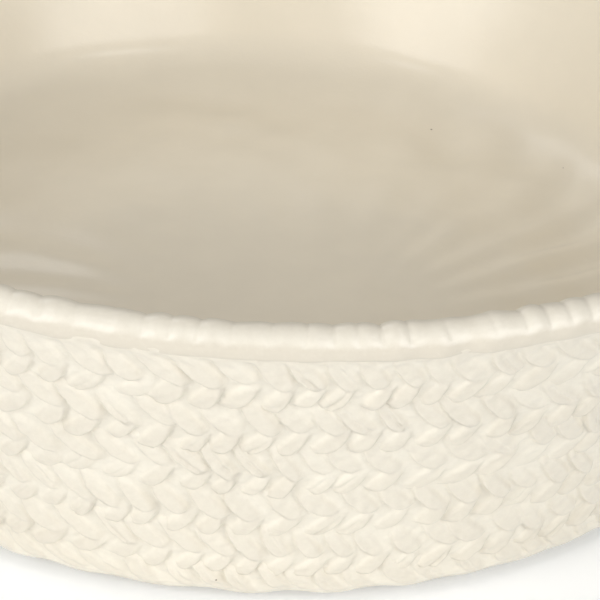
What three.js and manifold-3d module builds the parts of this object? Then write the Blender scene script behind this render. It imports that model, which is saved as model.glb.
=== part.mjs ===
// A ceramic yarn bowl: a shallow round bowl with plaited courses round its wall, a rolled rim, a curled slot that
// guides the yarn out, and four soft bumpers under its base. Millimetres, +Z up, origin on the table at the centre.

import * as THREE from 'three';
import { mergeVertices } from 'three/addons/utils/BufferGeometryUtils.js';
import Module from 'manifold-3d';

const wasm = await Module();
wasm.setup();

// Driving dimensions
const rimDiameter = 180; // over the rolled rim
const bowlHeight = 52.2; // from the table to the top of the rim
const baseDiameter = 144; // over the lowest course, where it turns under
const wallThickness = 5.6; // square to the wall, over the plaited courses
const floorThickness = 5; // at the centre of the base
const footEdgeRadius = 3; // round where the outside turns under
const coveRadius = 10; // inside, between the floor and the wall
const wallToeWidth = 4; // the wall's foot runs this far in past the cove, to meet the base slab
const floorRise = 1.2; // the floor is this much higher at the wall than at its centre

const courseCount = 6; // plaited courses, one above another
const courseBulge = 0.9; // how far a course stands out from the groove between two courses

const rimHeight = 6.5; // the rolled rim and the plain band under it, along the wall
const rimOverhang = 0.5; // how far the rim stands out past the courses under it

const slotWidth = 6.5; // wide enough for bulky yarn
const slotCurlRadius = 9.5; // of the slot's centre line, round the curl
const slotNeckHeight = 4.7; // of wall left between the end of the curl and the rim
const slotCurlTurn = 235; // degrees that the slot turns through after its straight leg

const bumperCount = 4;
const bumperDiameter = 10;
const bumperHeight = 1;

const jointGap = 0.3; // between two pieces that touch
const roundSteps = 72; // facets round the bowl
const bumperSteps = 24; // facets round a bumper

// Worked out from the sizes above
const rimRadius = rimDiameter / 2;
const baseRadius = baseDiameter / 2;
const undersideZ = bumperHeight + jointGap;
const floorZ = undersideZ + floorThickness;
const rimRollRadius = (wallThickness + rimOverhang) / 2;
const rollCentre = new THREE.Vector2(rimRadius - rimRollRadius, bowlHeight - rimRollRadius);
const wallStart = new THREE.Vector2(baseRadius, undersideZ); // where the wall's outer line meets the underside
const lean = leanUnder(rollCentre, rimRollRadius - rimOverhang); // radians from upright
const leanDegrees = THREE.MathUtils.radToDeg(lean);
const up = new THREE.Vector2(Math.sin(lean), Math.cos(lean)); // along the wall, towards the rim
const out = new THREE.Vector2(Math.cos(lean), -Math.sin(lean)); // square to the wall, outwards
const rollAlong = rollCentre.clone().sub(wallStart).dot(up);
const wallTopAlong = rollAlong + rimRollRadius - rimHeight - jointGap;
const coveCentre = coveCentreAt(floorZ + floorRise + coveRadius);
const jointRadius = coveCentre.x - wallToeWidth; // the hole in the wall's foot that the base slab fills
const slabRadius = jointRadius - jointGap;

// The lean of the line from the wall's start that passes outside a centre at a distance.
function leanUnder(centre, distance) {
  const reach = centre.clone().sub(wallStart);
  return Math.atan2(reach.x, reach.y) + Math.asin(distance / reach.length());
}

// The point that is `along` up the wall's outer line and `depth` in from it, as (radius, height).
function onWall(along, depth) {
  return wallStart.clone().addScaledVector(up, along).addScaledVector(out, -depth);
}

// The centre of the cove, at a height: its arc touches the wall's inner line.
function coveCentreAt(height) {
  const depth = wallThickness + coveRadius;
  return onWall((height - undersideZ + depth * out.y) / up.y, depth);
}

// Points on an arc about a centre in the (radius, height) plane, from one angle to another, both in degrees.
function arc(centre, radius, from, to, steps) {
  return Array.from({ length: steps + 1 }, (_, i) => {
    const angle = THREE.MathUtils.degToRad(from + ((to - from) * i) / steps);
    return new THREE.Vector2(centre.x + radius * Math.cos(angle), centre.y + radius * Math.sin(angle));
  });
}

// The floor's height at a radius: flat at the centre, rising smoothly to the cove.
function floorHeight(radius) {
  return floorZ + floorRise * THREE.MathUtils.smoothstep(radius, 0.4 * slabRadius, jointRadius);
}

function solidFrom(geometry) {
  const bare = geometry.clone();
  bare.deleteAttribute('normal');
  bare.deleteAttribute('uv');
  const merged = mergeVertices(bare, 1e-4);
  const corners = Array.from(merged.index.array);
  const kept = [];
  for (let i = 0; i < corners.length; i += 3) {
    const [a, b, c] = corners.slice(i, i + 3);
    if (a !== b && b !== c && c !== a) kept.push(a, b, c);
  }
  return new wasm.Manifold(
    new wasm.Mesh({
      numProp: 3,
      vertProperties: new Float32Array(merged.attributes.position.array),
      triVerts: new Uint32Array(kept),
    }),
  );
}

function geometryFrom(solid) {
  const mesh = solid.getMesh();
  const geometry = new THREE.BufferGeometry();
  geometry.setAttribute('position', new THREE.BufferAttribute(mesh.vertProperties, 3));
  geometry.setIndex(new THREE.BufferAttribute(mesh.triVerts, 1));
  geometry.computeVertexNormals();
  return geometry;
}

// A profile of (radius, height) points turned round +Z. It runs anticlockwise round the material.
function turned(profile, steps = roundSteps) {
  const geometry = new THREE.LatheGeometry(profile, steps);
  geometry.rotateX(Math.PI / 2);
  geometry.rotateZ(Math.PI / 2);
  return solidFrom(geometry);
}

// The slot's outline in the (sideways, height) plane: a straight leg down from above the rim, then the curl.
function slotOutline() {
  const half = slotWidth / 2;
  const turn = THREE.MathUtils.degToRad(slotCurlTurn);
  const endHeight = slotCurlRadius * Math.sin(-turn) + half; // of the curl's end, over the curl's centre
  const centre = new THREE.Vector2(0, onWall(wallTopAlong, 0).y - slotNeckHeight - endHeight);
  const top = bowlHeight + slotWidth;
  const outer = slotCurlRadius + half;
  const inner = slotCurlRadius - half;
  const end = new THREE.Vector2(slotCurlRadius * Math.cos(-turn), slotCurlRadius * Math.sin(-turn)).add(centre);
  const outline = new THREE.Shape();
  outline.moveTo(centre.x + outer, top);
  outline.lineTo(centre.x + outer, centre.y);
  outline.absarc(centre.x, centre.y, outer, 0, -turn, true);
  outline.absarc(end.x, end.y, half, -turn, -turn - Math.PI, true);
  outline.absarc(centre.x, centre.y, inner, -turn, 0, false);
  outline.lineTo(centre.x + inner, top);
  return outline;
}

// The slot's cutter goes through the wall on the +X side, from over the wall's foot to outside the rim.
function slotCutter() {
  const depth = rimRadius;
  const geometry = new THREE.ExtrudeGeometry(slotOutline(), { depth, bevelEnabled: false, curveSegments: 16 });
  geometry.rotateX(Math.PI / 2);
  geometry.rotateZ(Math.PI / 2);
  geometry.translate(jointRadius, 0, 0);
  return solidFrom(geometry);
}

// The wall's outside: courses bulging one above another, with a groove between each two.
function courseOutline() {
  const courseHeight = (wallTopAlong - footEdgeRadius) / courseCount;
  const outline = [];
  for (let course = 0; course < courseCount; course += 1) {
    const start = footEdgeRadius + course * courseHeight;
    for (const share of [0, 0.2, 0.5, 0.8]) {
      const bulge = Math.sin(Math.PI * share) ** 0.5;
      outline.push(onWall(start + share * courseHeight, courseBulge * (1 - bulge)));
    }
  }
  return outline;
}

// The wall: courses outside, a plain lean inside, and a foot turned in to the base slab.
function wallSolid() {
  const edge = onWall(footEdgeRadius, courseBulge + footEdgeRadius);
  const edgeCentre = new THREE.Vector2(edge.x, undersideZ + footEdgeRadius);
  return turned([
    new THREE.Vector2(jointRadius, undersideZ),
    ...arc(edgeCentre, footEdgeRadius, -90, -leanDegrees, 4).slice(0, -1),
    ...courseOutline(),
    onWall(wallTopAlong, courseBulge),
    onWall(wallTopAlong, wallThickness),
    ...arc(coveCentre, coveRadius, -leanDegrees, -90, 6),
    new THREE.Vector2(jointRadius, floorHeight(jointRadius)),
    new THREE.Vector2(jointRadius, undersideZ),
  ]);
}

// The rim: a roll on top of the wall with a plain band under it, down to the top course.
function rimSolid() {
  const bandStart = wallTopAlong + jointGap;
  const bandStep = courseBulge + rimOverhang;
  return turned([
    onWall(bandStart, wallThickness),
    onWall(bandStart, courseBulge),
    onWall(bandStart + bandStep, -rimOverhang),
    ...arc(rollCentre, rimRollRadius, -leanDegrees, 0, 2),
    ...arc(rollCentre, rimRollRadius, 0, 90, 5).slice(1),
    ...arc(rollCentre, rimRollRadius, 90, 180 - leanDegrees, 4).slice(1),
    onWall(bandStart, wallThickness),
  ]);
}

// The base slab: a disc that fills the wall's foot, its upper face gently dished.
function baseSlabSolid() {
  const shares = [1, 0.85, 0.7, 0.55, 0.4];
  return turned([
    new THREE.Vector2(0, undersideZ),
    new THREE.Vector2(slabRadius, undersideZ),
    ...shares.map((share) => new THREE.Vector2(slabRadius * share, floorHeight(slabRadius * share))),
    new THREE.Vector2(0, floorZ),
  ]);
}

// A bumper: a low disc with a chamfered lower edge, which the bowl stands on.
function bumperSolid() {
  const radius = bumperDiameter / 2;
  const chamfer = bumperHeight / 3;
  return turned(
    [
      new THREE.Vector2(0, 0),
      new THREE.Vector2(radius - chamfer, 0),
      new THREE.Vector2(radius, chamfer),
      new THREE.Vector2(radius, bumperHeight),
      new THREE.Vector2(0, bumperHeight),
    ],
    bumperSteps,
  );
}

function glaze() {
  return new THREE.MeshStandardMaterial({ color: 0xf0e8d4, roughness: 0.38, metalness: 0 });
}

function softRubber() {
  return new THREE.MeshStandardMaterial({ color: 0xe6e2d8, roughness: 0.7, metalness: 0 });
}

function piece(name, solid, material) {
  const mesh = new THREE.Mesh(geometryFrom(solid), material);
  mesh.name = name;
  return mesh;
}

const bowl = new THREE.Group();
const slot = slotCutter();
bowl.add(piece('base_slab', baseSlabSolid(), glaze()));
bowl.add(piece('plaited_wall', wallSolid().subtract(slot), glaze()));
bowl.add(piece('rolled_rim', rimSolid().subtract(slot), glaze()));

for (let i = 0; i < bumperCount; i += 1) {
  const angle = (2 * Math.PI * (i + 0.5)) / bumperCount;
  const bumper = piece(`bumper_${i + 1}`, bumperSolid(), softRubber());
  const reach = (jointRadius + baseRadius - footEdgeRadius) / 2; // midway across the wall's foot
  bumper.position.set(reach * Math.cos(angle), reach * Math.sin(angle), 0);
  bowl.add(bumper);
}

export default bowl;
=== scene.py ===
"""A ceramic yarn bowl: a leaning wall of plaited courses, a rolled rim, a pleated floor and a curled slot.

The bowl stands on Z = 0 with its axis on Z and its slot on the +X side. All lengths are in metres. The
wall, the rim and the floor are grids: one way round the bowl, the other way along a line in the
cross-section, with the relief added to that line.
"""

import math

import bmesh
import bpy
import numpy as np
from bpy.props import FloatProperty, FloatVectorProperty, IntProperty, PointerProperty
from bpy.types import Operator, Panel, PropertyGroup
from mathutils import Matrix, Vector


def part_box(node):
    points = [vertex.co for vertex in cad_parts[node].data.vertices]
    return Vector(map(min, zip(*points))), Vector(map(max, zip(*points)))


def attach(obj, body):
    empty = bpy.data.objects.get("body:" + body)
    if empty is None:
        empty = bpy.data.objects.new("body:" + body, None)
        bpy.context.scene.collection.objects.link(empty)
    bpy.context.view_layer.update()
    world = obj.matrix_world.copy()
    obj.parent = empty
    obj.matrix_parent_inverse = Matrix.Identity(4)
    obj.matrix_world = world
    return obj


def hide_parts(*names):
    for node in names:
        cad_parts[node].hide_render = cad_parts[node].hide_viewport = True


bl_info = {
    "name": "Plaited Yarn Bowl",
    "version": (1, 0, 0),
    "blender": (4, 5, 0),
    "location": "View3D > Sidebar > Yarn Bowl",
    "description": "Makes a ceramic yarn bowl with a plaited wall round its CAD frame",
    "category": "Add Mesh",
}

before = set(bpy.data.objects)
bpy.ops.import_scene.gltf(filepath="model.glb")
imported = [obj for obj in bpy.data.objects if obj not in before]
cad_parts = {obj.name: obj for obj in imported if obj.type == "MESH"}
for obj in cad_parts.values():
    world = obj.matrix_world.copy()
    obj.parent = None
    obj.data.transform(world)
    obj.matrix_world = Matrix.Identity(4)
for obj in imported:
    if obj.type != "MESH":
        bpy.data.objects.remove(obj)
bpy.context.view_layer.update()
RIM_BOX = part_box("rolled_rim")
WALL_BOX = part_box("plaited_wall")
SLAB_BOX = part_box("base_slab")
BUMPERS = sorted(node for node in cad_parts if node.startswith("bumper"))

BODY = "root"
FULL_TURN = 2 * math.pi
MM = 0.001
BUMPER_TOP = WALL_BOX[0].z + 0.05 * MM
COLUMNS = 720
COLUMNS_PER_STITCH = 16
COLUMNS_PER_RIDGE = 12
INSIDE_SEED, COURSE_SEED, RIM_SEED = 11, 100, 21
TABLE_HALF = 3.0


def length(name, description, default):
    """A property that holds a length."""
    return FloatProperty(name=name, description=description, default=default, unit="LENGTH", precision=5)


def colour(name, description, default):
    """A property that holds a linear colour."""
    return FloatVectorProperty(name=name, description=description, default=default, size=3, subtype="COLOR")


def number(name, description, default):
    """A property that holds a plain number."""
    return FloatProperty(name=name, description=description, default=default)


def angle(name, description, degrees):
    """A property that holds an angle, given in degrees."""
    return FloatProperty(name=name, description=description, default=math.radians(degrees), subtype="ANGLE")


class BowlShape(PropertyGroup):
    """The lines of the bowl's cross-section."""

    rim_radius: length("Rim Radius", "Outside radius of the rim", RIM_BOX[1].x)
    rim_top: length("Rim Top", "Height of the top of the rim", RIM_BOX[1].z)
    base_radius: length("Base Radius", "Outside radius where wall and underside meet", 72 * MM)
    underside: length("Underside", "Height of the underside over the table", WALL_BOX[0].z)
    wall_thickness: length("Wall Thickness", "Of the wall, over its plaits", 5.6 * MM)
    rim_overhang: length("Rim Overhang", "How far the rim's box stands out past the wall's line", 0.5 * MM)
    foot_edge: length("Foot Edge", "Radius of the turn from the wall to the underside", 5.5 * MM)
    cove: length("Cove", "Radius between the floor and the wall, inside", 9.5 * MM)
    inner_taper: angle("Inner Taper", "How much more the wall leans inside than outside", 8.8)
    joint_radius: length("Joint Radius", "Where base slab and wall meet", SLAB_BOX[1].x + 0.15 * MM)
    joint_along: length("Joint Along", "Where the rim meets the wall, along the wall", 46.4 * MM)


class FloorShape(PropertyGroup):
    """The floor of the bowl and the soft pleats that run out over it."""

    height: length("Height", "Height of the floor's lowest ring", 6.4 * MM)
    dome: length("Dome", "How far the centre stands up from the ring", 2.9 * MM)
    dome_edge: length("Dome Edge", "Radius at which the dome starts to fall", 20 * MM)
    dome_end: length("Dome End", "Radius at which the dome has levelled out", 54 * MM)
    ring: length("Ring", "Radius from which the floor rises towards the wall", 46 * MM)
    step: length("Step", "How far the floor rises again towards the wall", 1.6 * MM)
    tilt: angle("Tilt", "Of the floor where it meets the turn up to the wall", 18)
    pleats: IntProperty(name="Pleats", description="Number of pleats round the floor", default=31)
    pleat_height: length("Pleat Height", "How far a pleat stands up at the edge of the floor", 0.85 * MM)
    hub_x: length("Hub X", "Where the pleats meet, to the side", 9 * MM)
    hub_y: length("Hub Y", "Where the pleats meet, front to back", -20 * MM)


class PlaitShape(PropertyGroup):
    """The plaited courses of the wall."""

    courses: IntProperty(name="Courses", description="Number of plaited courses", default=6)
    top: length("Top", "Where the top course starts, along the wall", 50.0 * MM)
    rise: length("Rise", "From one course to the next, along the wall", 8.7 * MM)
    stitch: length("Stitch", "From one stitch to the next, round the wall", 4.35 * MM)
    long_share: number("Long Share", "Share of a course's rise that its long stitches take", 0.63)
    long_length: length("Long Stitch Length", "Of the stitches that lean one way", 9.4 * MM)
    long_width: length("Long Stitch Width", "Of the stitches that lean one way", 3.5 * MM)
    short_length: length("Short Stitch Length", "Of the stitches that lean back", 7.2 * MM)
    short_width: length("Short Stitch Width", "Of the stitches that lean back", 3.3 * MM)
    relief: length("Relief", "Height of a stitch over the web between stitches", 1.05 * MM)
    slope: angle("Slope", "Of a stitch from the level", 52)


class RimShape(PropertyGroup):
    """The rolled rim, its ridges and the plain band under it."""

    roll: length("Roll", "Radius of the roll", 2.55 * MM)
    depth: length("Depth", "From the wall's line to the outside of the roll", 0.5 * MM)
    ridges: IntProperty(name="Ridges", description="Number of ridges across the rim", default=148)
    ridge_height: length("Ridge Height", "From a groove to the top of a ridge", 0.34 * MM)
    band: length("Band", "Length of the plain band under the roll", 1.6 * MM)


class SlotShape(PropertyGroup):
    """The slot that guides the yarn."""

    width: length("Width", "Of the slot at its narrowest", 6.5 * MM)
    curl: length("Curl", "Radius of the slot's centre line", 9.5 * MM)
    turn: angle("Turn", "Angle that the slot curls through", 235)
    centre: length("Centre", "Height of the curl's centre", 29.0 * MM)
    lip: length("Lip", "Radius of the slot's rounded edges", 1.5 * MM)
    reach: length("Reach", "How far the cutter goes past the wall's thickness on both sides", 4 * MM)


class GlazeLook(PropertyGroup):
    """Colours of the glaze, the bare clay and the bumpers."""

    # The thin colour is also laid a little more on the short stitches, as painted shade.
    thin: colour("Thin", "The glaze outside where it is thin, over high spots", (0.67, 0.61, 0.503))
    pooled: colour("Pooled", "The glaze that lies thick between stitches", (0.815, 0.762, 0.648))
    inside: colour("Inside", "The glaze inside the bowl", (0.888, 0.807, 0.657))
    speck: colour("Speck", "Iron specks", (0.16, 0.11, 0.07))
    clay: colour("Clay", "Bare clay of the underside", (0.72, 0.64, 0.52))
    rubber: colour("Rubber", "The soft bumpers", (0.74, 0.73, 0.68))
    roughness: number("Roughness", "Of the glaze", 0.42)


class StageLook(PropertyGroup):
    """The camera, the lights and the floor."""

    distance: length("Distance", "From the camera to the bowl's axis", 0.52207)
    elevation: angle("Elevation", "Of the camera over the level", 31.855)
    roll: angle("Roll", "Of the camera about its own view", 3.05)
    lens: number("Lens", "Focal length, in millimetres", 217.6)
    aim_right: length("Aim Right", "From the axis to the middle of the view", 7.1 * MM)
    aim_up: length("Aim Up", "From the foot of the axis to the middle of the view", 1.51 * MM)
    floor: colour("Floor", "Colour of the table", (0.93, 0.93, 0.93))
    glow: number("Glow", "Strength of the table's own light, which keeps it white", 0.15)
    sky: number("Sky", "Strength of the light from all round", 0.2)
    key: number("Key", "Power of a softbox, in watts", 5.8)
    reach: length("Reach", "From the bowl to a softbox", 1.2)


class BowlSettings(PropertyGroup):
    """All the settings of the bowl."""

    bowl: PointerProperty(type=BowlShape)
    floor: PointerProperty(type=FloorShape)
    plait: PointerProperty(type=PlaitShape)
    rim: PointerProperty(type=RimShape)
    slot: PointerProperty(type=SlotShape)
    glaze: PointerProperty(type=GlazeLook)
    stage: PointerProperty(type=StageLook)


# Shapes


def smooth(x, low, high):
    """Nought below low, one above high, and 3k^2 - 2k^3 between, with k the share of the way."""
    k = np.clip((x - low) / (high - low), 0, 1)
    return k * k * (3 - 2 * k)


def smooth_max(a, b, blend):
    """The larger of two heights, rounded where they cross: half of a + b + sqrt((a - b)^2 + blend^2)."""
    return (a + b + np.sqrt((a - b) ** 2 + blend**2) - blend) / 2


def unevenness(turn, across, rng, turns, spacing, waves=20):
    """A sum of sines with spread 1, each with a whole number of waves round the bowl and a slope across."""
    total = np.zeros(np.broadcast(turn, across).shape)
    for _ in range(waves):
        around = rng.integers(turns[0], turns[1] + 1)
        upward = rng.normal(0, FULL_TURN / spacing)
        total += np.sin(around * turn + upward * across + rng.uniform(0, FULL_TURN))
    return total / math.sqrt(waves / 2)


class Section:
    """The cross-section's lines. Points are arrays whose last axis is a (radius, height) pair."""

    def __init__(self, bowl, floor, rim):
        self.bowl, self.floor = bowl, floor
        self.start = np.array([bowl.base_radius, bowl.underside])
        box_roll = (bowl.wall_thickness + bowl.rim_overhang) / 2
        reach = np.array([bowl.rim_radius - box_roll, bowl.rim_top - box_roll]) - self.start
        self.lean = math.atan2(*reach) + math.asin((box_roll - bowl.rim_overhang) / np.hypot(*reach))
        self.up = np.array([math.sin(self.lean), math.cos(self.lean)])
        self.out = np.array([math.cos(self.lean), -math.sin(self.lean)])
        self.edge = bowl.foot_edge * (1 - math.sin(self.lean)) / math.cos(self.lean)
        self.edge_centre = self.wall(self.edge, bowl.foot_edge)
        roll_depth = rim.depth + rim.roll
        roll_top = bowl.rim_top - 0.3 * MM - rim.roll - bowl.underside
        self.roll_along = (roll_top + roll_depth * self.out[1]) / self.up[1]
        self.roll_centre = self.wall(self.roll_along, roll_depth)
        self.inner_depth = roll_depth + rim.roll
        self.joint = self.wall(bowl.joint_along, self.inner_depth)
        inner_lean = self.lean + bowl.inner_taper
        cove_height = floor.height + floor.step + bowl.cove * math.cos(floor.tilt)
        down = (self.joint[1] + bowl.cove * math.sin(inner_lean) - cove_height) / math.cos(inner_lean)
        inward = down * math.sin(inner_lean) + bowl.cove * math.cos(inner_lean)
        self.cove_centre = np.array([self.joint[0] - inward, cove_height])
        self.floor_edge = self.cove_centre[0] + bowl.cove * math.sin(floor.tilt)
        self.inner_lean = inner_lean

    def wall(self, along, depth):
        """The point that is `along` up the wall's outer line and `depth` in from it."""
        along, depth = np.asarray(along)[..., None], np.asarray(depth)[..., None]
        return self.start + along * self.up - depth * self.out

    def outside(self, along):
        """The outer line and its normal: straight up the wall, with an arc below the foot edge."""
        turn = np.clip((self.edge - along) / self.bowl.foot_edge, 0, math.pi / 2 - self.lean)
        angles = -self.lean - turn
        normal = np.stack([np.cos(angles), np.sin(angles)], -1)
        beyond = np.maximum(0, self.edge - along - self.bowl.foot_edge * (math.pi / 2 - self.lean))
        point = self.edge_centre + self.bowl.foot_edge * normal
        point = point + np.maximum(0, along - self.edge)[..., None] * self.up
        return point - beyond[..., None] * np.array([1.0, 0.0]), normal

    def floor_height(self, radius):
        """A low dome, and round it a rise to the wall as a power of the share of the way there."""
        floor, width = self.floor, self.floor_edge - self.floor.ring
        dome = floor.dome * (1 - smooth(radius, floor.dome_edge, floor.dome_end))
        share = np.clip((radius - floor.ring) / width, 0, 1)
        return floor.height + dome + floor.step * share ** (math.tan(floor.tilt) * width / floor.step)

    def inside(self, steps):
        """The inner line from the slab joint over the cove and up the wall to the rim joint."""
        start = self.bowl.joint_radius
        radii = np.linspace(start, self.floor_edge, steps // 5)[:-1]
        flat = np.stack([radii, self.floor_height(radii)], -1)
        angles = np.linspace(self.floor.tilt - math.pi / 2, -self.inner_lean, steps // 3)
        cove = self.cove_centre + self.bowl.cove * np.stack([np.cos(angles), np.sin(angles)], -1)
        share = np.linspace(0, 1, steps - len(flat) - len(cove) + 1)[1:, None]
        return np.concatenate([flat, cove, cove[-1] + share * (self.joint - cove[-1])])


def normals_of(line):
    """Unit normals of an open line of (radius, height) points: its tangents turned a quarter."""
    tangent = np.gradient(line, axis=0)
    tangent /= np.linalg.norm(tangent, axis=1, keepdims=True)
    return np.stack([-tangent[:, 1], tangent[:, 0]], -1)


def turned(points, turn):
    """(radius, height) points carried round the axis: x = r cos(turn), y = r sin(turn), z = height."""
    radius, height = points[..., 0], points[..., 1]
    return np.stack([radius * np.cos(turn), radius * np.sin(turn), height + 0 * turn], -1)


def pleats(settings, section, turn, radius, rng):
    """Soft pleats: waves round a hub in front of the centre, which grow outwards and fade up the wall.

    The height is a cosine of a warped angle seen from the hub. A low unevenness lies on top, with shallow
    hollows in the ring round the dome.
    """
    floor = settings.floor
    x, y = radius * np.cos(turn) - floor.hub_x, radius * np.sin(turn) - floor.hub_y
    around, reach = np.arctan2(y, x), np.hypot(x, y)
    phase = floor.pleats * (around + 0.025 * unevenness(around, reach, rng, (2, 6), 60 * MM, 8))
    phase = phase + 3.3 * np.sin(3 * around - 3)
    sides = 0.95 * np.exp(-(((around - 0.55) / 0.6) ** 2)) + 0.25 * np.cos(around / 2 - 1.5) ** 8
    patches = 1 + 0.3 * unevenness(around, reach, rng, (2, 9), 30 * MM, 10)
    strength = (0.1 + sides) * np.clip(patches, 0.2, 1.6)
    edge = section.floor_edge
    spread = reach / edge * smooth(reach, 14 * MM, 40 * MM)
    spread = spread * (1 - smooth(radius, edge - 6 * MM, edge + 4 * MM))
    waves = floor.pleat_height / 2 * strength * spread * np.cos(phase)
    uneven = 0.1 * MM * unevenness(turn, radius, rng, (2, 14), 22 * MM, 16)
    hollows = 0.06 * MM * unevenness(turn, radius, rng, (8, 22), 24 * MM, 12)
    ring = smooth(radius, 0.7 * floor.ring, 0.9 * floor.ring) * (1 - smooth(radius, floor.ring, edge))
    return waves + uneven * smooth(radius, 0, 30 * MM) + hollows * ring


def stitches(around, height, count, rng, side, plait, span, breadth):
    """One row of overlapping stitches, as a height over the web between them, from nought to about one.

    Each stitch is a plateau that falls away smoothly with rho, where rho^2 is a sum of powers of the share
    along its bowed centre line and the share across it. It rises from its tucked tail to its head. Its lower
    edge is the higher and the steeper one. Some stitches have a crease along them.
    """
    pitch = plait.stitch
    shift = rng.normal(0, 0.07, count)
    slope = plait.slope + rng.normal(0, math.radians(5), count)
    spans = span * rng.normal(1, 0.08, count)
    breadths = breadth * rng.normal(1, 0.09, count)
    bows = rng.normal(0.55 * MM, 0.15 * MM, count)
    tall = np.clip(rng.normal(1, 0.14, count), 0.6, 1.3)
    lift = rng.normal(0, 0.3 * MM, count)
    crease = np.where(rng.uniform(0, 1, count) < 0.22, rng.uniform(0.15, 0.4, count), 0)
    place = rng.uniform(-0.2, 0.35, count)
    result = np.zeros(around.shape)
    first = np.floor(around)
    for step in range(-2, 3):
        i = (first + step).astype(int) % count
        x = side * (around - first - step - 0.5 - shift[i]) * pitch
        y = height - lift[i]
        cos, sin = np.cos(slope[i]), np.sin(slope[i])
        run = (x * cos - y * sin) / (spans[i] / 2)
        across = -x * sin - y * cos - bows[i] * (1 - np.clip(run, -1, 1) ** 2)
        taper = 0.7 + 0.3 * smooth(run, -1, 0.1)
        share = across / (breadths[i] / 2 * taper)
        rho = np.sqrt(np.abs(run) ** 3.4 + np.abs(share) ** np.where(share > 0, 3.6, 2.0))
        plateau = 1 - smooth(rho, 0.4, 1.0)
        rise = 0.55 + 0.45 * smooth(run, -1, 0.4)
        line = 1 - crease[i] * np.exp(-(((share - place[i]) / 0.13) ** 2)) * smooth(run, -0.8, 0)
        tilt = 1 + 0.3 * np.clip(share, -1, 1)
        result = smooth_max(result, plateau * rise * tilt * tall[i] * line, 0.15)
    return result


def course_grid(settings, section, course, rng):
    """One plaited course as a grid of points, and a groove value for each point: high deep in a groove,
    where the glaze pools, and lowered on the short stitches as painted shade.

    The grid's columns lean with the stitches, so that the grooves run along them. The lowest course runs out
    into a smooth, wavy ledge at the foot.
    """
    plait = settings.plait
    top = plait.top - course * plait.rise
    bottom = top - plait.rise
    middle = top - plait.rise * plait.long_share
    radius = float(section.outside(np.array([(top + bottom) / 2]))[0][0, 0])
    count = round(FULL_TURN * radius / plait.stitch)
    above, below = 1.4 * MM, 2.2 * MM
    rows = np.linspace(bottom - below, top + above, 42)[:, None]
    columns = np.linspace(0, FULL_TURN, count * COLUMNS_PER_STITCH, endpoint=False)[None, :]
    bend = np.sqrt((rows - middle) ** 2 + (0.5 * MM) ** 2)
    turn = columns - bend / math.tan(plait.slope) / radius
    wander = 0.45 * MM * unevenness(turn, rows, rng, (2, 9), 0.5, 8)
    height = rows - wander
    around = turn * count / FULL_TURN + 0.22 * unevenness(turn, rows, rng, (3, 12), 0.2, 10)
    half_lean = plait.long_length / 2 * math.cos(plait.slope) / plait.stitch
    long_middle = (top + middle) / 2 + 0.1 * MM
    short_middle = (middle + bottom) / 2 - 0.25 * MM
    phase = half_lean + 0.5 - plait.short_length / 2 * math.cos(plait.slope) / plait.stitch
    longs = stitches(around + half_lean, height - long_middle, count, rng, 1, plait,
                     plait.long_length, plait.long_width)
    shorts = stitches(around + phase, height - short_middle, count, rng, -1, plait,
                      plait.short_length, plait.short_width)
    share = smooth_max(longs, 0.88 * shorts, 0.15)
    if course == 0:
        share = share + (1 - share) * 0.6 * smooth(rows, top - 2.6 * MM, top + 0.3 * MM)
    worn = np.clip(0.9 + 0.12 * unevenness(turn, rows, rng, (3, 14), 40 * MM, 12), 0.5, 1.15)
    worn = worn * (0.4 + 0.6 * smooth(rows, -1 * MM, 4.5 * MM))
    relief = plait.relief * share * worn + 0.05 * MM * unevenness(turn, rows, rng, (60, 240), 3 * MM, 30)
    ends = smooth(rows, top - 0.4 * MM, top + 0.4 * MM) + smooth(-rows, -bottom, 0.8 * MM - bottom)
    tucked = 0.12 * MM * ends
    tucked = tucked + 0.8 * MM * smooth(rows, top + 0.5 * MM, top + above)
    tucked = tucked + 1.2 * MM * smooth(-rows, 1.5 * MM - bottom, below - bottom)
    depth = 1.15 * plait.relief - relief + tucked
    if course == plait.courses - 1:
        ledge = 0.7 * MM * smooth(rows, 0.3 * MM, 4 * MM) + 0.5 * MM * smooth(-rows, 1 * MM, 2.8 * MM)
        ledge = ledge + 0.14 * MM * unevenness(turn, 0 * rows, rng, (34, 58), 1, 10)
        drift = 3 * unevenness(turn, rows, rng, (2, 12), 20 * MM, 6)
        layers = 0.05 * MM * np.sin(rows / (0.2 * MM) + drift)
        low = 1 - 0.7 * smooth(rows, 1 * MM, 3.8 * MM) - 0.3 * smooth(rows, -0.6 * MM, 1.2 * MM)
        depth = depth + (ledge + layers - depth) * low
    point, normal = section.outside(rows)
    # Painted shade: where the short stitches lead, the groove value is lowered, so they take more of the
    # darker thin colour, as if they lay in shade.
    shorts_painted_shade = smooth(0.88 * shorts - longs, -0.1, 0.1)
    groove = 1 - (0.43 + 0.13 * shorts_painted_shade) * smooth(share, 0.15, 0.6)
    return turned(point - depth[..., None] * normal, turn), groove


def course_ring(settings, section, course, rng):
    """A plaited course closed behind by a plain back that lies inside the wall."""
    front, groove = course_grid(settings, section, course, rng)
    back_depth = settings.plait.relief + 2.0 * MM
    plait = settings.plait
    top = plait.top - course * plait.rise
    rows = np.linspace(top + 1.0 * MM, top - plait.rise - 1.8 * MM, 3)[:, None]
    point, normal = section.outside(rows)
    turn = np.arctan2(front[-1:, :, 1], front[-1:, :, 0]) + 0 * rows
    back = turned(point - back_depth * normal + 0 * turn[..., None], turn)
    return np.concatenate([front, back]), np.concatenate([groove, 0 * turn])


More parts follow.
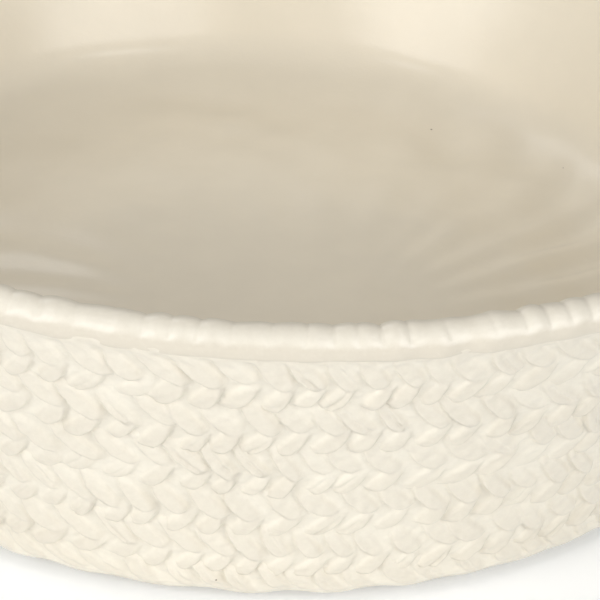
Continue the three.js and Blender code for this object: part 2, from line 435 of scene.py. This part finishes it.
def wall_grid(settings, section, columns, rng):
    """The wall behind the plaits: the pleated inside, the joints, the underside and a plain outer skin."""
    turn = np.linspace(0, FULL_TURN, columns, endpoint=False)[None, :]
    inside = section.inside(64)
    normal = normals_of(inside)
    lift = pleats(settings, section, turn, inside[:, :1], rng)
    joint = section.bowl.joint_radius
    steep = smooth(inside[:, :1], joint, section.floor_edge)
    normal = steep * normal + (1 - steep) * [0, 1]
    inner = turned(inside[:, None] + lift[..., None] * normal[:, None], turn)
    skin_depth = 1.15 * settings.plait.relief + 0.3 * MM
    low = section.edge - section.bowl.foot_edge * (math.pi / 2 - section.lean)
    rows = np.linspace(section.bowl.joint_along, low, 22)
    line, outward = section.outside(rows)
    skin = line - skin_depth * outward
    bottom = section.bowl.underside + 0.05 * MM
    skin[-1] = [section.edge_centre[0] - 0.5 * MM, bottom]
    under = np.array([[(joint + skin[-1, 0]) / 2, bottom], [joint, bottom]])
    outer = turned(np.concatenate([skin, under])[:, None] + np.zeros((1, columns, 1)), turn)
    return np.concatenate([inner, outer])


def rim_grid(settings, section, rng):
    """The rim: ridges over the roll, a plain band outside and the smooth inside down to the joint.

    A ridge is the square root of |cos| round the rim, so its top is broad and the groove beside it narrow.
    """
    rim, bowl = settings.rim, settings.bowl
    turn = np.linspace(0, FULL_TURN, rim.ridges * COLUMNS_PER_RIDGE, endpoint=False)[None, :]
    band = np.linspace(section.roll_along - rim.band, section.roll_along, 12)[:-1]
    tuck = 1.4 * MM * (1 - smooth(band, band[0], section.roll_along))
    outer = section.wall(band, rim.depth + tuck)
    angles = np.linspace(-section.lean, math.pi - section.lean, 30)
    roll = section.roll_centre + rim.roll * np.stack([np.cos(angles), np.sin(angles)], -1)
    inner = section.wall(np.linspace(section.roll_along, bowl.joint_along, 8)[1:], section.inner_depth)
    line = np.concatenate([outer, roll, inner])
    normal = -normals_of(line)
    share = np.concatenate([0 * band, np.linspace(0, 1, len(roll)), np.ones(len(inner))])[:, None]
    row, last = np.arange(len(line))[:, None], len(line)
    reach = smooth(share, 0.16, 0.34) * (1 - smooth(row, last - 12, last - 3))
    phase = turn + 0.008 * unevenness(turn, share, rng, (3, 25), 9, 12)
    ridge = np.sqrt(np.abs(np.cos(phase * rim.ridges / 2)) + 0.02)
    strength = np.clip(0.95 + 0.32 * unevenness(turn, share, rng, (20, 90), 6, 16), 0.2, 1.5)
    lift = rim.ridge_height * strength * reach * (ridge - 1)
    groove = np.clip(0.9 * reach + reach * strength * (1 - ridge) * 1.6, 0, 1)
    lift = lift + 0.08 * MM * unevenness(turn, share, rng, (12, 110), 3, 24) * (1 - smooth(share, 0.8, 1))
    points = turned(line[:, None] + lift[..., None] * normal[:, None], turn)
    return points, groove, smooth(share, 0.35, 0.95)


def slab_grid(settings, section, columns, rng):
    """The base slab: the domed floor out to the joint, then the flat underside. Its ends are poles."""
    turn = np.linspace(0, FULL_TURN, columns, endpoint=False)[None, :]
    radii = np.linspace(0, settings.bowl.joint_radius, 90)[:, None]
    height = section.floor_height(radii) + pleats(settings, section, turn, radii, rng)
    top = np.stack([radii + 0 * turn, height + 0 * turn], -1)
    bottom = settings.bowl.underside + 0.05 * MM
    under = np.linspace(settings.bowl.joint_radius, 0, 8)[:, None]
    low = np.stack([under + 0 * turn, bottom + 0 * under + 0 * turn], -1)
    return turned(np.concatenate([top, low]), turn)


def bumper_grid(box):
    """A bumper: a flat disc whose edge is a quarter of a superellipse, turned round its own axis."""
    low, high = np.array(box[0]), np.array(box[1])
    centre, radius = (low + high) / 2, (high[0] - low[0]) / 2
    turn = np.linspace(0, FULL_TURN, 64, endpoint=False)[None, :]
    bend = np.linspace(0, math.pi / 2, 10)[:, None]
    edge = 0.7 * MM
    foot = np.concatenate([[[0.0]], np.linspace(0.3, 1, 4)[:, None]]) * (radius - edge)
    radii = np.concatenate([foot[:-1], radius - edge + edge * np.sin(bend), [[radius * 0.97], [0.0]]])
    top = BUMPER_TOP
    heights = np.concatenate([0 * foot[:-1], edge * (1 - np.cos(bend)), [[top], [top]]])
    ring = turned(np.stack([radii, heights], -1) + 0 * turn[..., None], turn)
    return ring + [centre[0], centre[1], 0]


def slot_line(slot, rim_top, steps):
    """The slot's centre line in the (sideways, height) plane: straight down the leg, then round the curl."""
    leg = np.linspace(rim_top + 3 * MM, slot.centre, steps // 3)[:-1]
    straight = np.stack([slot.curl + 0 * leg, leg], -1)
    angles = -np.linspace(0, slot.turn, 2 * steps // 3)
    curl = slot.curl * np.stack([np.cos(angles), np.sin(angles)], -1) + [0, slot.centre]
    return np.concatenate([straight, curl])


def slot_grid(settings, section, steps=96):
    """The cutter for the slot, as a grid: one way through the wall, the other round the slot's outline.

    The outline is the centre line moved out by half the width on both sides, with a half round at its end.
    It widens along a quarter circle at the wall's outside and again at the wall's set thickness. It ends a
    set reach past that, so low down, where the wall is thicker, it doesn't come out on the inside.
    """
    slot, lip = settings.slot, settings.slot.lip
    line = slot_line(slot, settings.bowl.rim_top, steps)
    tangent = np.gradient(line, axis=0)
    tangent /= np.linalg.norm(tangent, axis=1, keepdims=True)
    side = np.stack([-tangent[:, 1], tangent[:, 0]], -1)
    ends = np.linspace(0, math.pi, 14)[1:-1]
    cap = np.cos(ends)[:, None] * side[-1] + np.sin(ends)[:, None] * tangent[-1]
    spine = np.concatenate([line, np.repeat(line[-1:], len(cap), 0), line[::-1]])
    normal = np.concatenate([side, cap, -side[::-1]])
    mouth = smooth(spine[:, 1], settings.bowl.rim_top - 3.2 * MM, settings.bowl.rim_top + 1.5 * MM)
    thick = settings.bowl.wall_thickness / math.cos(section.lean)
    near = np.linspace(0, 1, 8)
    quarter = lip * (1 - np.sqrt(1 - (1 - near) ** 2))
    groove = 0.5 * settings.plait.relief
    depths = [[-slot.reach], groove + lip * near, thick - lip * near[::-1], [thick + slot.reach]]
    depths = np.concatenate(depths)
    bend = np.concatenate([[1.6 * lip], quarter, quarter[::-1], [1.6 * lip]])
    widen = slot.width / 2 + bend[:, None] + 1.6 * MM * mouth[None, :]
    flat = spine[None] + widen[..., None] * normal[None]
    sideways, height = flat[..., 0], flat[..., 1]
    level = np.minimum(height, settings.bowl.rim_top)
    surface = settings.bowl.base_radius + (level - settings.bowl.underside) * math.tan(section.lean)
    x = np.sqrt(surface**2 - sideways**2) - depths[:, None]
    return np.stack([x, sideways, height], -1)


# Meshes


def grid_faces(rows, columns, closed_rows):
    """Four-sided faces of a grid whose columns meet round the bowl, as vertex numbers."""
    down = np.arange(rows if closed_rows else rows - 1)[:, None]
    along = np.arange(columns)[None, :]
    below, beside = (down + 1) % rows, (along + 1) % columns
    corners = [(down, along), (down, beside), (below, beside), (below, along)]
    corners = [row * columns + column for row, column in corners]
    return np.stack(corners, -1).reshape(-1, 4)


def volume(points, faces):
    """Six times the signed volume that four-sided faces close in."""
    a, b, c, d = (points[faces[:, i]] for i in range(4))
    return float(np.einsum("ij,ij->", a, np.cross(b, c)) + np.einsum("ij,ij->", a, np.cross(c, d)))


def make_mesh(name, points, closed_rows=True, caps=False, **layers):
    """An object from a grid of points. Rows that shrink to one point become a pole, or the ends get caps."""
    rows, columns = points.shape[:2]
    vertices = points.reshape(-1, 3)
    faces = grid_faces(rows, columns, closed_rows)
    flip = volume(vertices, faces) < 0
    faces = faces.tolist()
    if caps:
        faces.append(list(range(columns))[::-1])
        faces.append(list(range((rows - 1) * columns, rows * columns)))
    if flip:
        faces = [face[::-1] for face in faces]
    mesh = bpy.data.meshes.new(name)
    mesh.from_pydata(vertices.tolist(), [], faces)
    for layer_name, values in layers.items():
        layer = mesh.attributes.new(layer_name, "FLOAT", "POINT")
        values = np.broadcast_to(values, (rows, columns)).astype(np.float32)
        layer.data.foreach_set("value", values.ravel())
    if not closed_rows and not caps:
        shape = bmesh.new()
        shape.from_mesh(mesh)
        bmesh.ops.remove_doubles(shape, verts=shape.verts, dist=0.001 * MM)
        shape.to_mesh(mesh)
        shape.free()
    mesh.validate()
    piece = bpy.data.objects.new(name, mesh)
    bpy.context.scene.collection.objects.link(piece)
    return piece


def cut(piece, cutter):
    """Takes the cutter's shape out of a piece, and keeps the result as the piece's own mesh."""
    modifier = piece.modifiers.new("Slot", "BOOLEAN")
    modifier.operation, modifier.solver, modifier.object = "DIFFERENCE", "MANIFOLD", cutter
    bpy.context.view_layer.update()
    whole = piece.data
    solid = bpy.data.meshes.new_from_object(piece.evaluated_get(bpy.context.evaluated_depsgraph_get()))
    piece.modifiers.clear()
    piece.data = solid
    solid.name = piece.name
    bpy.data.meshes.remove(whole)


def finish_piece(piece, material, slot, *nodes, crease=None):
    """Shades a piece smoothly, gives it its material and ties it to its CAD nodes."""
    mesh = piece.data
    mesh.shade_smooth()
    if crease:
        mesh.set_sharp_from_angle(angle=math.radians(crease))
    mesh.materials.clear()
    mesh.materials.append(material)
    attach(piece, BODY)
    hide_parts(*nodes)


# Materials


class Value:
    """A number that varies over a surface. Its operators add Math nodes."""

    def __init__(self, paint, socket):
        self.paint, self.socket = paint, socket

    def math(self, operation, first, second):
        return self.paint.value("ShaderNodeMath", {"operation": operation}, {0: first, 1: second})

    def __add__(self, other):
        return self.math("ADD", self, other)

    def __sub__(self, other):
        return self.math("SUBTRACT", self, other)

    def __rsub__(self, other):
        return self.math("SUBTRACT", other, self)

    def __mul__(self, other):
        return self.math("MULTIPLY", self, other)

    def above(self, limit):
        return self.math("GREATER_THAN", self, limit)

    def below(self, limit):
        return self.math("LESS_THAN", self, limit)

    def clamped(self, low, high):
        """Nought at low, one at high and level beyond them."""
        inputs = {"Value": self, "From Min": low, "From Max": high}
        return self.paint.value("ShaderNodeMapRange", {"interpolation_type": "SMOOTHSTEP"}, inputs)

    __radd__ = __add__
    __rmul__ = __mul__


class Paint:
    """A new material and the nodes in it."""

    def __init__(self, name):
        self.material = bpy.data.materials.new(name)
        self.material.use_nodes = True
        self.tree = self.material.node_tree
        self.tree.nodes.clear()
        self.place = self.node("ShaderNodeTexCoord", {}, {}).outputs["Object"]

    def node(self, kind, settings, inputs):
        """Any node: its settings first, then the values or links of its sockets."""
        node = self.tree.nodes.new(kind)
        for name, setting in settings.items():
            setattr(node, name, setting)
        for name, given in inputs.items():
            source = given.socket if isinstance(given, Value) else given
            if isinstance(source, bpy.types.NodeSocket):
                self.tree.links.new(source, node.inputs[name])
            else:
                node.inputs[name].default_value = source
        return node

    def value(self, kind, settings, inputs, output=0):
        """A node of any kind, as the value of one of its outputs."""
        return Value(self, self.node(kind, settings, inputs).outputs[output])

    def noise(self, scale, detail, roughness=0.5):
        """Noise on the object's own place, from nought to one."""
        inputs = {"Vector": self.place, "Scale": scale, "Detail": detail, "Roughness": roughness}
        return self.value("ShaderNodeTexNoise", {}, inputs, "Fac")

    def mix(self, amount, first, second):
        """A colour between two colours."""
        node = self.node("ShaderNodeMix", {"data_type": "RGBA"}, {"Factor": amount})
        for socket, given in (("A_Color", first), ("B_Color", second)):
            target = next(item for item in node.inputs if item.identifier == socket)
            if isinstance(given, bpy.types.NodeSocket):
                self.tree.links.new(given, target)
            else:
                target.default_value = (*given, 1)
        return next(item for item in node.outputs if item.identifier == "Result_Color")

    def bump(self, height, strength, distance):
        inputs = {"Height": height, "Strength": strength, "Distance": distance}
        return self.node("ShaderNodeBump", {}, inputs).outputs["Normal"]

    def shade(self, **inputs):
        """Ends the material in a Principled shader."""
        named = {name.replace("_", " "): given for name, given in inputs.items()}
        shader = self.node("ShaderNodeBsdfPrincipled", {}, named)
        self.node("ShaderNodeOutputMaterial", {}, {"Surface": shader.outputs["BSDF"]})
        return self.material


def specks(paint, scale, size, rarity):
    """Round specks: the heart of a Voronoi cell, in the few cells whose own random number is high."""
    cells = paint.node("ShaderNodeTexVoronoi", {"feature": "F1"}, {"Vector": paint.place, "Scale": scale})
    chance = Value(paint, paint.node("ShaderNodeSeparateColor", {}, {0: cells.outputs["Color"]}).outputs[0])
    heart = Value(paint, cells.outputs["Distance"])
    return (1 - heart.clamped(0.5 * size, size)) * chance.above(rarity)


def glaze(look, underside, foot_radius):
    """Satin cream glaze, paler where it pools and darker on the short stitches as painted shade, warmer
    inside, with iron specks, over bare clay below.
    """
    paint = Paint("satin_cream_glaze")
    groove = paint.value("ShaderNodeAttribute", {"attribute_name": "groove"}, {}, "Fac")
    cloud = paint.noise(34, 4, 0.6)
    grain = paint.noise(1100, 3, 0.65)
    dimple = paint.noise(330, 2)
    inner = paint.value("ShaderNodeAttribute", {"attribute_name": "inner"}, {}, "Fac")
    # The groove value brings the pale pooled glaze between stitches and the painted shade that darkens the
    # short stitches.
    pooling_and_painted_shade = groove * 0.9 + (cloud - 0.5) * 0.3 + (grain - 0.5) * 0.65
    outside = paint.mix(pooling_and_painted_shade, look.thin, look.pooled)
    deep = [0.94 * part for part in look.inside]
    inside = paint.mix(cloud.clamped(0.3, 0.72), deep, look.inside)
    body = paint.mix(inner, outside, inside)
    specked = paint.mix(specks(paint, 150, 0.03, 0.55) * 0.85, body, look.speck)
    apart = paint.node("ShaderNodeSeparateXYZ", {}, {0: paint.place})
    flat = paint.node("ShaderNodeVectorMath", {"operation": "MULTIPLY"}, {0: paint.place, 1: (1, 1, 0)})
    across = paint.node("ShaderNodeVectorMath", {"operation": "LENGTH"}, {0: flat.outputs[0]})
    height, radius = Value(paint, apart.outputs["Z"]), Value(paint, across.outputs["Value"])
    bare = height.below(underside + 0.3 * MM) * radius.below(foot_radius)
    skin = paint.mix(bare, specked, look.clay)
    roughness = look.roughness + (grain - 0.5) * 0.16 + groove * 0.06 + bare * 0.4
    relief = dimple * 0.7 + grain * 0.3
    return paint.shade(
        Base_Color=skin,
        Roughness=roughness,
        Normal=paint.bump(relief, 0.35, 0.00025),
        Coat_Weight=0.4 * (1 - bare),
        Coat_Roughness=0.2,
        Coat_IOR=1.45,
        IOR=1.5,
    )


def rubber(look):
    """Soft milky rubber: a fine grain in its colour, sheen and surface."""
    paint = Paint("milky_rubber")
    grain = paint.noise(900, 4, 0.6)
    cloud = paint.noise(160, 2)
    milky = paint.mix(cloud.clamped(0.3, 0.7), look.rubber, [0.9 * part for part in look.rubber])
    return paint.shade(
        Base_Color=milky,
        Roughness=0.5 + (grain - 0.5) * 0.2,
        Normal=paint.bump(grain, 0.3, 0.00012),
        IOR=1.42,
    )


def table_top(look):
    """A plain pale table, a little uneven in its sheen."""
    paint = Paint("pale_table")
    return paint.shade(
        Base_Color=(*look.floor, 1),
        Roughness=0.6 + paint.noise(20, 2) * 0.1,
        Emission_Color=(0.8, 0.9, 1, 1),
        Emission_Strength=look.glow,
    )


# Operators


class BowlOperator:
    """What the bowl's operators share: the settings, the cross-section and the glaze."""

    bl_options = {"REGISTER", "UNDO"}

    def prepare(self, context):
        self.settings = context.scene.yarn_bowl
        self.section = Section(self.settings.bowl, self.settings.floor, self.settings.rim)

    def glaze(self):
        made = bpy.data.materials.get("satin_cream_glaze")
        return made or glaze(self.settings.glaze, self.settings.bowl.underside, self.section.edge_centre[0])

    def cutter(self):
        return make_mesh("slot_cutter", slot_grid(self.settings, self.section), closed_rows=False, caps=True)


class YARNBOWL_OT_wall(BowlOperator, Operator):
    """Makes the wall behind the plaits, with the slot through it"""

    bl_idname = "yarn_bowl.wall"
    bl_label = "Wall"

    def execute(self, context):
        self.prepare(context)
        points = wall_grid(self.settings, self.section, COLUMNS, np.random.default_rng(INSIDE_SEED))
        piece = make_mesh("wall_body", points, inner=1.0)
        cutter = self.cutter()
        cut(piece, cutter)
        bpy.data.objects.remove(cutter)
        finish_piece(piece, self.glaze(), "glaze", "plaited_wall", crease=50)
        return {"FINISHED"}


class YARNBOWL_OT_plaits(BowlOperator, Operator):
    """Makes the plaited courses round the wall, from the top down"""

    bl_idname = "yarn_bowl.plaits"
    bl_label = "Plaited Courses"

    def execute(self, context):
        self.prepare(context)
        cutter = self.cutter()
        for course in range(self.settings.plait.courses):
            rng = np.random.default_rng(COURSE_SEED + course)
            points, groove = course_ring(self.settings, self.section, course, rng)
            piece = make_mesh(f"plait_course_{course + 1}", points, groove=groove)
            cut(piece, cutter)
            finish_piece(piece, self.glaze(), "glaze", "plaited_wall")
        bpy.data.objects.remove(cutter)
        return {"FINISHED"}


class YARNBOWL_OT_rim(BowlOperator, Operator):
    """Makes the rolled rim with its ridges and plain band"""

    bl_idname = "yarn_bowl.rim"
    bl_label = "Rolled Rim"

    def execute(self, context):
        self.prepare(context)
        points, groove, inner = rim_grid(self.settings, self.section, np.random.default_rng(RIM_SEED))
        piece = make_mesh("rim_roll", points, groove=groove, inner=inner)
        cutter = self.cutter()
        cut(piece, cutter)
        bpy.data.objects.remove(cutter)
        finish_piece(piece, self.glaze(), "glaze", "rolled_rim", crease=60)
        return {"FINISHED"}


class YARNBOWL_OT_base(BowlOperator, Operator):
    """Makes the base slab with the pleated floor"""

    bl_idname = "yarn_bowl.base"
    bl_label = "Base Slab"

    def execute(self, context):
        self.prepare(context)
        points = slab_grid(self.settings, self.section, COLUMNS, np.random.default_rng(INSIDE_SEED))
        piece = make_mesh("base_floor", points, closed_rows=False, inner=1.0)
        finish_piece(piece, self.glaze(), "glaze", "base_slab", crease=50)
        return {"FINISHED"}


class YARNBOWL_OT_bumpers(BowlOperator, Operator):
    """Makes the soft bumpers under the foot"""

    bl_idname = "yarn_bowl.bumpers"
    bl_label = "Bumpers"

    def execute(self, context):
        self.prepare(context)
        material = rubber(self.settings.glaze)
        for node in BUMPERS:
            piece = make_mesh(node + "_pad", bumper_grid(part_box(node)), closed_rows=False)
            finish_piece(piece, material, "soft_rubber", node)
        return {"FINISHED"}


SOFTBOXES = (
    # name, degrees round from the front, degrees up, share of the power, diameter
    ("softbox_left", -42, 25, 1.34, 0.8),
    ("softbox_right", 40, 26, 1.12, 0.8),
    ("softbox_back", -150, 44, 0.28, 0.5),
    ("top_left", -57, 61, 0.13, 0.18),
    ("top_right", 57, 61, 0.12, 0.14),
)


def add_softbox(name, place, energy, size):
    """A round, soft light that faces the bowl."""
    data = bpy.data.lights.new(name, "AREA")
    data.energy, data.shape, data.size = energy, "DISK", size
    lamp = bpy.data.objects.new(name, data)
    lamp.location = place
    lamp.rotation_euler = place.to_track_quat("Z", "Y").to_euler()
    bpy.context.scene.collection.objects.link(lamp)


class YARNBOWL_OT_stage(BowlOperator, Operator):
    """Makes the table, the soft lights and the camera"""

    bl_idname = "yarn_bowl.stage"
    bl_label = "Stage"

    def execute(self, context):
        self.prepare(context)
        look, scene = self.settings.stage, context.scene
        corners = [(x * TABLE_HALF, y * TABLE_HALF, 0) for x, y in ((-1, -1), (1, -1), (1, 1), (-1, 1))]
        mesh = bpy.data.meshes.new("table_top")
        mesh.from_pydata(corners, [], [(0, 1, 2, 3)])
        mesh.materials.append(table_top(look))
        table = bpy.data.objects.new("table_top", mesh)
        scene.collection.objects.link(table)

        world = bpy.data.worlds.new("soft_sky")
        world.use_nodes = True
        world.node_tree.nodes["Background"].inputs["Color"].default_value = (1, 1, 1, 1)
        world.node_tree.nodes["Background"].inputs["Strength"].default_value = look.sky
        scene.world = world
        for name, turn, lift, share, size in SOFTBOXES:
            turn, lift = math.radians(turn), math.radians(lift)
            aim = Vector((math.sin(turn) * math.cos(lift), -math.cos(turn) * math.cos(lift), math.sin(lift)))
            add_softbox(name, aim * look.reach, look.key * share, size)

        up_view = Vector((0, math.sin(look.elevation), math.cos(look.elevation)))
        back = Vector((0, -math.cos(look.elevation), math.sin(look.elevation)))
        right = Vector((1, 0, 0))
        turn, lift = math.cos(look.roll), math.sin(look.roll)
        right, up_view = turn * right + lift * up_view, turn * up_view - lift * right
        place = look.distance * back
        ahead = (look.aim_right * right + look.aim_up * up_view - place).normalized()
        right = ahead.cross(up_view).normalized()
        data = bpy.data.cameras.new("camera")
        data.lens, data.sensor_width = look.lens, 36
        camera = bpy.data.objects.new("camera", data)
        axes = Matrix((right, right.cross(ahead), -ahead)).transposed()
        camera.matrix_world = Matrix.Translation(place) @ axes.to_4x4()
        scene.collection.objects.link(camera)
        scene.camera = camera
        scene.view_settings.view_transform = "Standard"
        return {"FINISHED"}


PIECE_OPERATORS = (
    YARNBOWL_OT_wall,
    YARNBOWL_OT_plaits,
    YARNBOWL_OT_rim,
    YARNBOWL_OT_base,
    YARNBOWL_OT_bumpers,
    YARNBOWL_OT_stage,
)


class YARNBOWL_PT_panel(Panel):
    """Lists the steps that make the bowl"""

    bl_idname = "YARNBOWL_PT_panel"
    bl_label = "Yarn Bowl"
    bl_space_type = "VIEW_3D"
    bl_region_type = "UI"
    bl_category = "Yarn Bowl"

    def draw(self, context):
        for operator in PIECE_OPERATORS:
            self.layout.operator(operator.bl_idname)


GROUPS = (BowlShape, FloorShape, PlaitShape, RimShape, SlotShape, GlazeLook, StageLook, BowlSettings)
CLASSES = (*GROUPS, *PIECE_OPERATORS, YARNBOWL_PT_panel)


def register():
    for item in CLASSES:
        bpy.utils.register_class(item)
    bpy.types.Scene.yarn_bowl = PointerProperty(type=BowlSettings)


def unregister():
    del bpy.types.Scene.yarn_bowl
    for item in reversed(CLASSES):
        bpy.utils.unregister_class(item)


def main():
    """Makes the whole bowl and its stage."""
    register()
    for operator in PIECE_OPERATORS:
        group, name = operator.bl_idname.split(".")
        getattr(getattr(bpy.ops, group), name)()


if __name__ == "__main__":
    main()
